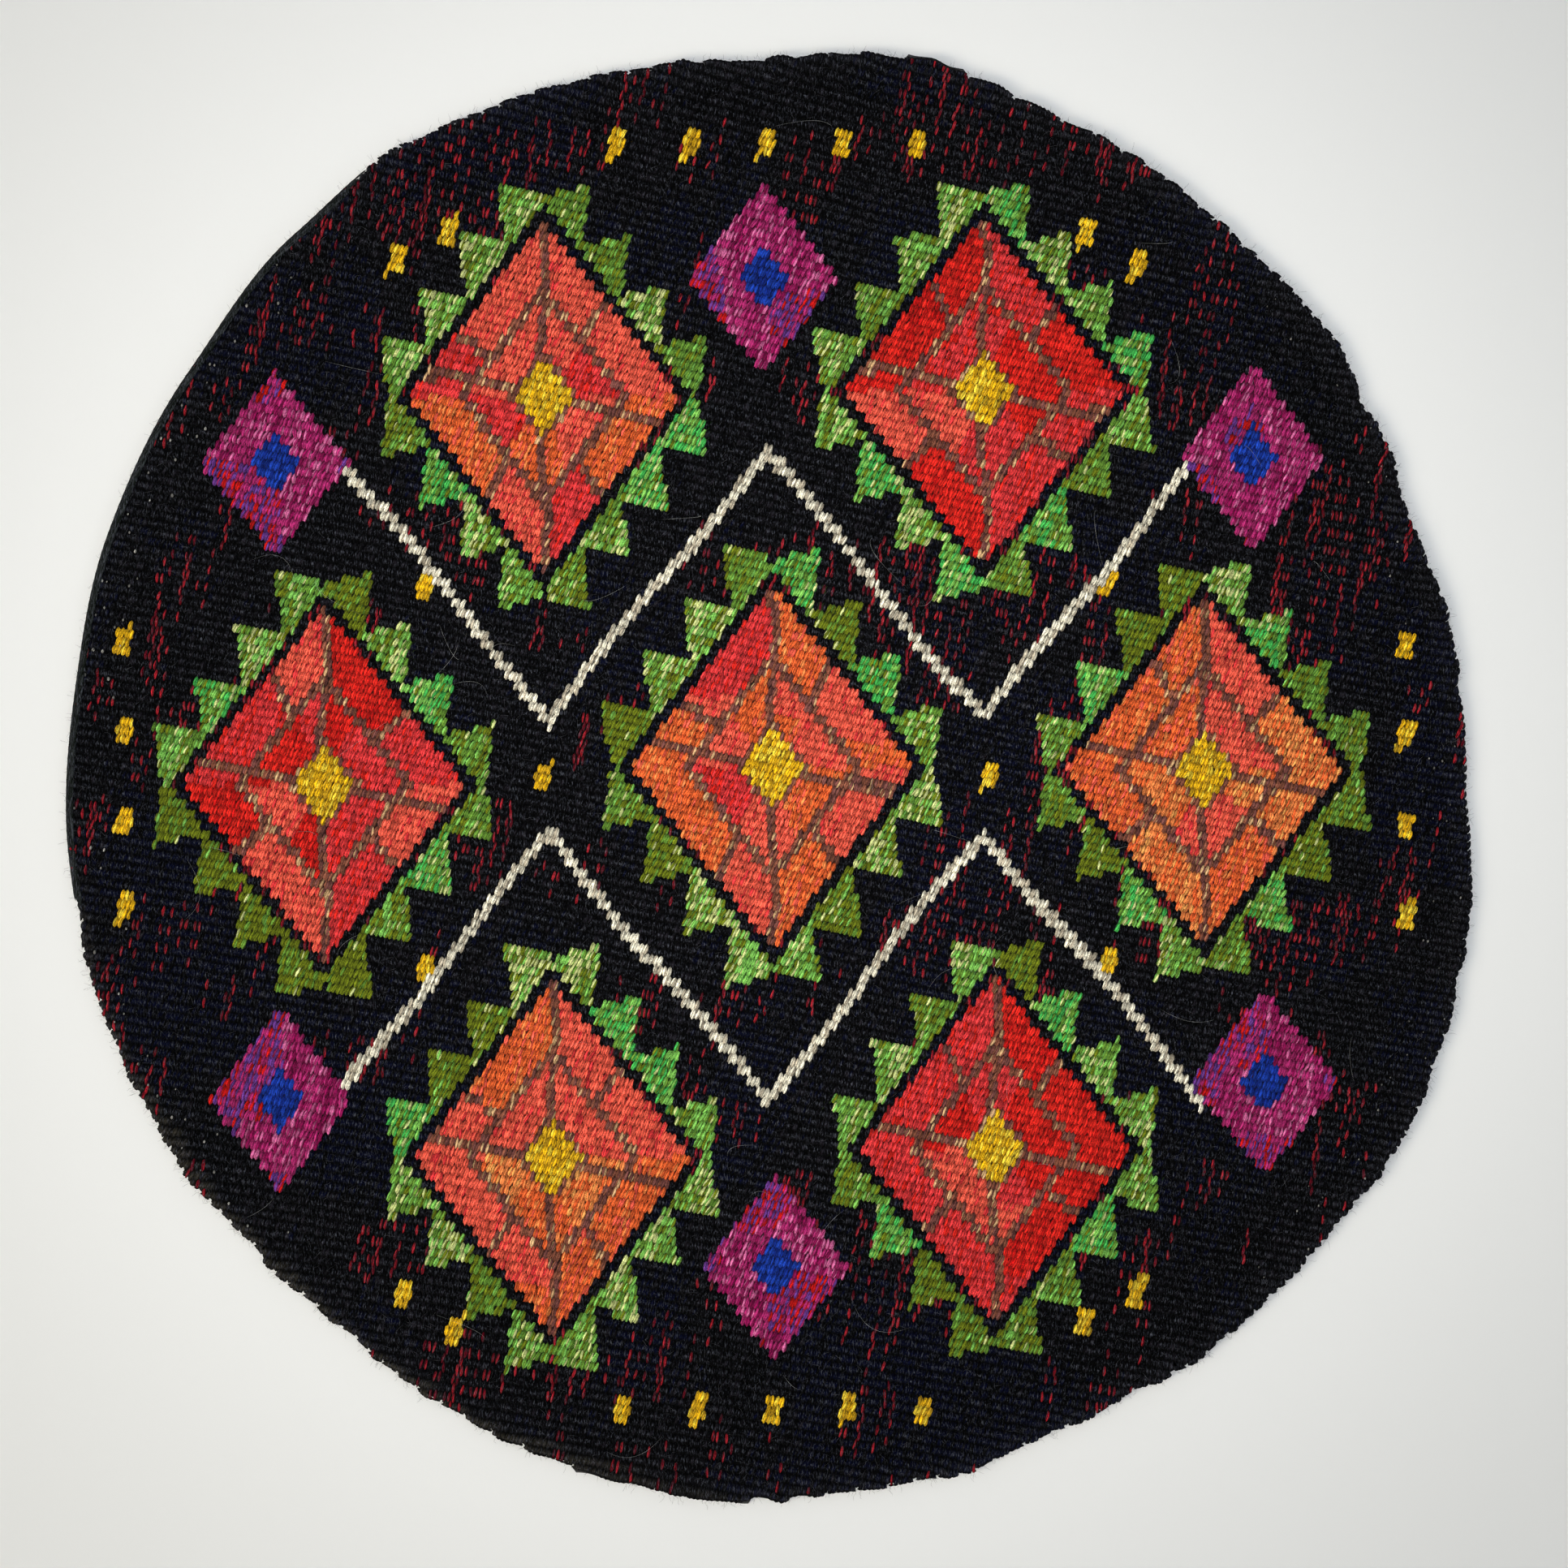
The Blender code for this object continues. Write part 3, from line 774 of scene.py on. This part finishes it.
# Painted sheen: the roll's plies are paler than the black ground.
selvedge_plies = np.where(pick < 0.5, SELVEDGE_SHEEN_GREY, SELVEDGE_SHEEN_GREEN) * (0.7 + 0.6 * random.random((len(pick), 2, 1)))
joined("weft_selvedge", selvedge_points, selvedge_plies, felted_wool, 121)


# ----------------------------------------------------------
# The warp's own specks: here and there near the left and right edges, the weft has parted and a dot of the
# undyed cotton warp shows in a groove.
COTTON = dyed(216, 212, 204)
SPECKS = 110

near_edge = inside_rim(place_x, place_y)
sideways = np.abs(np.sin(np.arctan2(place_y, place_x))) < 0.72
may_show = np.flatnonzero((near_edge > 1.5 * MM) & (near_edge < 16 * MM) & sideways)
chosen = random.choice(may_show, SPECKS, replace=False)
along, over = rib_directions(place_rib[chosen], place_x[chosen])
x, y = place_x[chosen], place_y[chosen]
spot = np.stack([x, y, crest_height(x, y) - 0.62 * MM], -1) + over * (1.45 * MM) + along * (0.2 * MM)
size = random.uniform(0.35, 0.75, SPECKS) * np.where(x < 0, 1.4, 1.0)
speck_points = placed(spot, over, along, STRAIGHT_UP[None], 1.5 * MM * size, 0.9 * MM * size, 0.5 * MM, 0.1 * MM)
# Each speck's cotton colour is dimmed at random, to 0.15 to 0.7 of it, and is brighter on the left.
speck_dimming = random.uniform(0.15, 0.7, (SPECKS, 2, 1)) * np.where(x < 0, 1.3, 1.0)[:, None, None]
joined("warp_specks", speck_points, np.array(COTTON) * speck_dimming, bright_wool, 131)


# ----------------------------------------------------------
# The cloth beneath: warp and packed weft as one sheet. Its face shows between the bundles, and is painted with the
# nearest wool's colour darkened to near black, as painted shade in the gaps. Its back is ribbed like its face and has
# the same design, because a tapestry's weft goes right through it.
COLUMNS = 84
BACK_RELIEF = 0.7 * MM          # from the groove between two ribs of its back to their crests
TURNED_IN = 1.3 * MM            # how far in from its face's edge the edge of its back is
BESIDE_RIB, BESIDE_GROOVE = 0.45 * MM, 1.4 * MM # how far in from the bundles' ends it stops
BELOW_CREST, BELOW_GROOVE = 0.72 * MM, 0.95 * MM # how far it lies under the crests, and further down in a groove
CLOSER = 0.86                   # how much closer its columns are near the edge, from 0 to 1
# Shares of the wool's colour below each face: on the face a near-black painted shade, on the back 0.9 of it.
FACE_PAINTED_SHADE, BACK_TONE = 0.04, 0.9

lines = []
for rib in [min(rib_ends) - 1] + sorted(rib_ends):
    beside = [rib_ends[n] for n in (rib, rib + 1) if n in rib_ends]
    if rib in rib_ends:
        lines.append((rib, rib_ends[rib][0] + BESIDE_RIB, rib_ends[rib][1] - BESIDE_RIB, 0.0))
    left, right = max(e[0] for e in beside), min(e[1] for e in beside)
    lines.append((rib + 0.5, left + BESIDE_GROOVE, right - BESIDE_GROOVE, 1.0))
bpy.ops.mesh.primitive_grid_add(x_subdivisions=COLUMNS, y_subdivisions=len(lines) - 1, size=2)
cloth = bpy.context.object
cloth.name = cloth.data.name = "base_cloth"
bpy.ops.object.mode_set(mode="EDIT")
bpy.ops.mesh.select_all(action="SELECT")
bpy.ops.mesh.extrude_region_move(TRANSFORM_OT_translate={"value": (0, 0, 1)})
bpy.ops.mesh.normals_make_consistent(inside=False)
bpy.ops.object.mode_set(mode="OBJECT")
points = np.zeros(len(cloth.data.vertices) * 3)
cloth.data.vertices.foreach_get("co", points)
points = points.reshape(-1, 3)
share = (points[:, 0] + 1) / 2
row = np.round((points[:, 1] + 1) / 2 * (len(lines) - 1)).astype(int)
on_face = points[:, 2] > 0.5
line_rib, line_left, line_right, line_groove = np.array(lines).T[:, row]
share = 0.5 + 0.5 * np.sin((share - 0.5) * math.pi * CLOSER) / math.sin(0.5 * math.pi * CLOSER)
x = line_left + (line_right - line_left) * share
y = rib_y(line_rib, x)
depth = inside_rim(x, y)
face_z = crest_height(x, y) - BELOW_CREST - BELOW_GROOVE * line_groove
back_z = BACK_RELIEF * line_groove * eased(depth / (4 * MM))
outward = knobbly(x, y) - np.where(on_face, 0.0, TURNED_IN * (1 - eased(depth / (6 * MM))))
spread = 1.0 + outward / np.hypot(x, y)
points = np.stack([x * spread, y * spread, np.where(on_face, face_z, back_z)], -1)
cloth.data.vertices.foreach_set("co", points.ravel())
cloth.data.update()

tree = KDTree(len(place_x))
for number, spot in enumerate(zip(place_x, place_y, np.zeros(len(place_x)))):
    tree.insert(spot, number)
tree.balance()
place_colour = np.array([BLACK] * len(place_x))
for places, plies in (
    (lozenge_places, lozenge_plies), (brown_places, brown_plies), (green_places, green_plies),
    (magenta_places, magenta_plies), (cream_places, cream_plies), (gold_places, gold_plies),
    (ground_places, ground_plies),
):
    place_colour[places] = plies.mean(axis=1)
place_colour[blue_places] = ROYAL_BLUE
colours = np.ones((len(cloth.data.loops), 4))
for face in cloth.data.polygons:
    nearest = tree.find((face.center.x, face.center.y, 0.0))[1]
    # The face takes the painted shade of the gaps, the back the wool's colour.
    tone = FACE_PAINTED_SHADE if face.normal.z > 0.3 else BACK_TONE
    colours[list(face.loop_indices), :3] = place_colour[nearest] * tone
cloth.data.attributes.new("packed_wool_and_gap_shade", "FLOAT_COLOR", "CORNER").data.foreach_set("color", colours.ravel())
cloth.data.polygons.foreach_set("use_smooth", np.ones(len(cloth.data.polygons), bool))

packed, node = new_material("packed_weft")
way = {"Rotation": (0, 0, math.radians(11.5)), "Scale": (1.0, 0.3, 1.0)}
place = node("Mapping", {"Vector": node("TexCoord", {}, "Object"), **way})
strands = node("TexNoise", {"Vector": place, "Scale": 1500.0, "Detail": 4.0}, "Fac")
tone = node("MapRange", {"Value": strands, "To Min": 0.45, "To Max": 1.5})
wool = node("Attribute", {}, "Color", attribute_name="packed_wool_and_gap_shade")
streaked = node("Mix", {"Factor": 1.0, "A": wool, "B": tone}, "Result", data_type="RGBA", blend_type="MULTIPLY")
bump = node("Bump", {"Strength": 0.8, "Distance": 0.3 * MM, "Height": strands})
gloss = {"Roughness": 0.95, "Sheen Weight": 0.08, "Specular IOR Level": 0.2}
node("Shader", {"Base Color": streaked, "Normal": bump, **gloss})
cloth.data.materials.clear()
cloth.data.materials.append(packed)
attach(cloth, "root")
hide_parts("woven_cloth")


# ----------------------------------------------------------
# The fuzz: fine wool fibres that have worked loose. They stand out all round the rim and lie over the felted
# ground, and a few long pale hairs are caught on the face.
def loose_fibres(name, root, tip, length, curl, arch, thick, material, rings):
    """Fibres from root to tip. They bow by about that curl of their length each way, and up by arch. thick is from
    the thinnest to the thickest, in millimetres."""
    fibre_points, fibre_faces, _ = spindle(rings)
    bend = random.normal(0, 1, root.shape) * curl * length[:, None] + STRAIGHT_UP * arch
    thick = random.uniform(*thick, (len(root), 1, 1)) * MM
    t = (fibre_points[:, 1] + 1) / 2
    line = root[:, None] * (1 - t)[None, :, None] + tip[:, None] * t[None, :, None]
    line = line + bend[:, None] * (4 * t * (1 - t))[None, :, None]
    side = unit(np.cross(unit(tip - root), STRAIGHT_UP + 0.01))
    lift = np.cross(side, unit(tip - root))
    round_it = side[:, None] * fibre_points[None, :, 0, None] + lift[:, None] * fibre_points[None, :, 2, None]
    points = line + round_it * (thick / 2)
    points[..., 2] = np.maximum(points[..., 2], 0.02 * MM)
    copies(name, points, fibre_faces, material)


def hair(name, dark, light):
    """Wool fibre, dark and pale in turn along its length."""
    material, node = new_material(name)
    noise = node("TexNoise", {"Vector": node("TexCoord", {}, "Object"), "Scale": 220.0}, "Fac")
    shade = node("ValToRGB", {"Fac": noise}, "Color")
    for stop, position, colour in zip(shade.node.color_ramp.elements, (0.35, 0.65), (dark, light)):
        stop.position, stop.color = position, (*colour, 1)
    node("Shader", {"Base Color": shade, "Roughness": 0.6})
    return material


random = np.random.default_rng(140)
RIM_FIBRES, GROUND_FIBRES, STRAY_HAIRS = 2400, 6500, 46
angle = random.uniform(0, 2 * math.pi, RIM_FIBRES)
radius = rim_radius(angle) - random.uniform(0.0, 1.4, RIM_FIBRES) * MM
radius = radius + knobbly(radius * np.cos(angle), radius * np.sin(angle))
turn = level(angle)
root = turn * radius[:, None]
root[:, 2] = random.uniform(1.2, 3.4, RIM_FIBRES) * MM
way = unit(turn + random.normal(0, 0.8, (RIM_FIBRES, 3)) * (1, 1, 0.4))
length = np.where(random.random(RIM_FIBRES) < 0.65, 0.9, 2.4) * random.uniform(0.7, 1.5, RIM_FIBRES) * MM
tip = root + way * length[:, None]
rim_hair = hair("dark_wool_fibre", dyed(24, 24, 28), dyed(84, 80, 76))
loose_fibres("fuzz_round_the_rim", root, tip, length, 0.2, 0.0, (0.05, 0.08), rim_hair, 4)

chosen = random.choice(ground_places, GROUND_FIBRES, replace=False)
x, y = place_x[chosen], place_y[chosen]
root = np.stack([x, y, crest_height(x, y) + 0.05 * MM], -1)
root[:, :2] += random.normal(0, 0.6 * MM, (GROUND_FIBRES, 2))
heading = random.normal(1.37, 0.9, GROUND_FIBRES)
length = random.uniform(1.2, 4.0, GROUND_FIBRES) * MM
tip = root + level(heading) * length[:, None]
tip[:, 2] = crest_height(tip[:, 0], tip[:, 1]) + 0.05 * MM
face_hair = hair("grey_wool_fibre", dyed(40, 40, 50), dyed(112, 110, 116))
loose_fibres("fuzz_on_the_ground", root, tip, length, (0.14, 0.14, 0), 0.15 * MM, (0.035, 0.06), face_hair, 3)

angle = random.uniform(0, 2 * math.pi, STRAY_HAIRS)
radius = 0.232 * np.sqrt(random.uniform(0.02, 1.0, STRAY_HAIRS))
root = level(angle) * radius[:, None]
heading = random.uniform(0, 2 * math.pi, STRAY_HAIRS)
length = random.uniform(8, 24, STRAY_HAIRS) * MM
tip = root + level(heading) * length[:, None]
root[:, 2] = crest_height(root[:, 0], root[:, 1]) + 0.12 * MM
tip[:, 2] = crest_height(tip[:, 0], tip[:, 1]) + 0.12 * MM
pale_hair = hair("pale_stray_hair", dyed(120, 120, 120), dyed(200, 200, 198))
loose_fibres("stray_hairs", root, tip, length, (0.2, 0.2, 0), 0.2 * MM, (0.07, 0.07), pale_hair, 16)


# ----------------------------------------------------------
# The setting: a plain, pale table top under a bright sky, with soft daylight from the lower left and a soft lamp
# above the middle. The camera looks straight down at the face.
bpy.ops.mesh.primitive_plane_add(size=6, location=(0, 0, -0.0002))
table_top = bpy.context.object
table_top.name = "table_top"
paper, node = new_material("pale_table")
node("Shader", {"Base Color": (0.86, 0.86, 0.85, 1), "Roughness": 0.9})
table_top.data.materials.append(paper)


def window(name, place, aim, size, power, colour, spread):
    """A soft square light at a place, turned to its aim. A smaller spread, in degrees, makes a pool of light."""
    light = bpy.data.lights.new(name, "AREA")
    light.size, light.energy, light.color, light.spread = size, power, colour, math.radians(spread)
    lamp = bpy.data.objects.new(name, light)
    lamp.location = place
    lamp.rotation_euler = (Vector(aim) - Vector(place)).to_track_quat("-Z", "Y").to_euler()
    bpy.context.scene.collection.objects.link(lamp)


window("window_left", (-2.70, -1.26, 2.0), (0, 0, 0), 1.5, 70, (1.0, 0.91, 0.73), 180)
window("lamp_above", (0.0, 0.03, 1.6), (0.0, 0.03, 0), 0.3, 0.47, (0.99, 0.99, 0.98), 30)
sky = bpy.data.worlds.new("room")
sky.use_nodes = True
sky.node_tree.nodes["Background"].inputs["Color"].default_value = (0.865, 0.925, 1.0, 1)
sky.node_tree.nodes["Background"].inputs["Strength"].default_value = 0.468
bpy.context.scene.world = sky
bpy.context.scene.view_settings.view_transform = "Standard"

lens = bpy.data.cameras.new("camera")
lens.lens, lens.sensor_width = 85, 36
camera = bpy.data.objects.new("camera", lens)
camera.location = (0.0060, -0.0029, 1.281)
camera.rotation_euler = (0, 0, 0)
bpy.context.scene.collection.objects.link(camera)
bpy.context.scene.camera = camera
